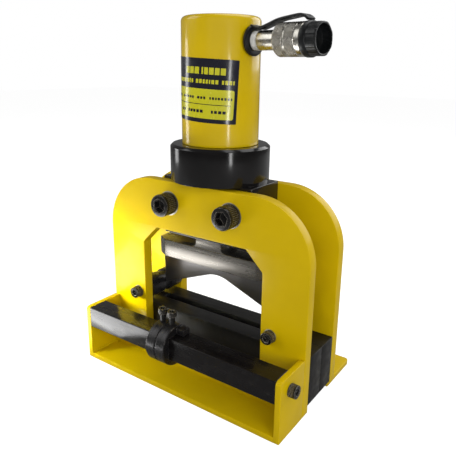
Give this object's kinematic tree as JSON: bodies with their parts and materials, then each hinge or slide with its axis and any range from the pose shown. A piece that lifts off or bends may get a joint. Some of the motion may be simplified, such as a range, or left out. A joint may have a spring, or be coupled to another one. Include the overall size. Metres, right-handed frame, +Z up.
{
  "type": "hydraulic flat bar cutter head",
  "caption": "Vertical hydraulic cutter head for flat bar: arched plate frame, top cylinder, guided blade over a slotted die, sliding stops and a knurled coupler.",
  "frame": {"origin": "on the floor, under the vertical centre line of the cylinder, midway between the two arch plates", "axes": "+Z up along the cylinder, +X towards the hydraulic coupler, -Y towards the stop bar and its two collars (the operator's side)"},
  "size_m": [0.276, 0.179, 0.383],
  "materials": {
    "front_plate": "gloss yellow paint on steel plate",
    "rear_plate": "gloss yellow paint on steel plate",
    "front_tray": "gloss yellow paint on welded steel plate",
    "rear_foot": "gloss yellow paint on steel plate",
    "head_block": "gloss black paint on machined steel",
    "barrel": "gloss yellow paint on a steel tube",
    "gland_bush": "turned bronze",
    "rod_wiper": "black moulded rubber",
    "rating_plate": "printed plastic film, plain panels",
    "front_die": "blackened tool steel, satin",
    "rear_die": "blackened tool steel, satin",
    "die_dowels": "ground steel",
    "guide_rollers": "blackened turned steel",
    "head_screws": "black-oxide steel, worn edges",
    "guide_screws": "black-oxide steel, worn edges",
    "stop_bar": "blackened steel bar",
    "bar_screws": "black-oxide steel",
    "stop_collar_left": "blackened turned steel",
    "stop_screw_left": "zinc-plated steel",
    "stop_collar_right": "blackened turned steel",
    "stop_screw_right": "zinc-plated steel",
    "piston": "turned steel",
    "piston_seal": "black rubber",
    "wear_ring": "brown wear plastic",
    "piston_screw": "black-oxide steel",
    "piston_rod": "ground and chromed",
    "return_spring": "oiled spring steel",
    "blade_holder": "ground steel, brushed",
    "blade": "ground tool steel",
    "blade_screws": "black-oxide steel",
    "rod_lock_screw": "black-oxide steel",
    "port_fitting": "zinc-plated steel",
    "sealing_tape": "white tape",
    "coupler_body": "bright zinc-plated steel",
    "sleeve_ring": "spring steel",
    "coupler_sleeve": "zinc-plated steel, knurled",
    "valve_poppet": "turned steel",
    "valve_spring": "spring steel",
    "dust_cap": "black moulded rubber",
    "cap_strap": "black moulded rubber"
  },
  "bodies": {
    "frame": {"front_plate": "front_plate", "rear_plate": "rear_plate", "front_tray": "front_tray", "rear_foot": "rear_foot", "head_block": "head_block", "barrel": "barrel", "gland_bush": "gland_bush", "rod_wiper": "rod_wiper", "rating_plate": "rating_plate", "front_die": "front_die", "rear_die": "rear_die", "die_dowels": "die_dowels", "guide_rollers": "guide_rollers", "head_screws": "head_screws", "guide_screws": "guide_screws", "stop_bar": "stop_bar", "bar_screws": "bar_screws", "port_fitting": "port_fitting", "sealing_tape": "sealing_tape", "coupler_body": "coupler_body", "sleeve_ring": "sleeve_ring", "valve_spring": "valve_spring", "cap_strap": "cap_strap", "return_spring": "return_spring"},
    "ram": {"piston": "piston", "piston_seal": "piston_seal", "wear_ring": "wear_ring", "piston_screw": "piston_screw", "piston_rod": "piston_rod", "blade_holder": "blade_holder", "blade": "blade", "blade_screws": "blade_screws", "rod_lock_screw": "rod_lock_screw"},
    "left_stop": {"stop_collar_left": "stop_collar_left"},
    "left_stop_screw": {"stop_screw_left": "stop_screw_left"},
    "right_stop": {"stop_collar_right": "stop_collar_right"},
    "right_stop_screw": {"stop_screw_right": "stop_screw_right"},
    "sleeve": {"coupler_sleeve": "coupler_sleeve"},
    "poppet": {"valve_poppet": "valve_poppet"},
    "cap": {"dust_cap": "dust_cap"}
  },
  "joints": [
    {"name": "ram_slide", "type": "slide", "parent": "frame", "child": "ram", "axis": [0, 0, -1], "range_m": [0, 0.05], "stiffness_N_per_m": 2000, "springref_m": -0.04, "deforming": ["return_spring"]},
    {"name": "left_stop_slide", "type": "slide", "parent": "frame", "child": "left_stop", "axis": [1, 0, 0], "range_m": [-0.096, 0]},
    {"name": "left_stop_screw_turn", "type": "hinge", "parent": "left_stop", "child": "left_stop_screw", "pos_m": [-0.0204, -0.0725, 0.08], "axis": [0, 0, 1], "range_deg": [0, 360]},
    {"name": "right_stop_slide", "type": "slide", "parent": "frame", "child": "right_stop", "axis": [1, 0, 0], "range_m": [0, 0.114]},
    {"name": "right_stop_screw_turn", "type": "hinge", "parent": "right_stop", "child": "right_stop_screw", "pos_m": [-0.0078, -0.0725, 0.08], "axis": [0, 0, 1], "range_deg": [0, 360]},
    {"name": "sleeve_spin", "type": "hinge", "parent": "frame", "child": "sleeve", "pos_m": [0.08734, -0.01072, 0.3596], "axis": [0.9925, -0.1219, 0], "continuous": true},
    {"name": "poppet_push", "type": "slide", "parent": "frame", "child": "poppet", "axis": [-0.9925, 0.1219, 0], "range_m": [0, 0.0025], "stiffness_N_per_m": 400, "springref_m": -0.01},
    {"name": "cap_pull", "type": "slide", "parent": "frame", "child": "cap", "axis": [0.9925, -0.1219, 0], "range_m": [0, 0.03]}
  ]
}
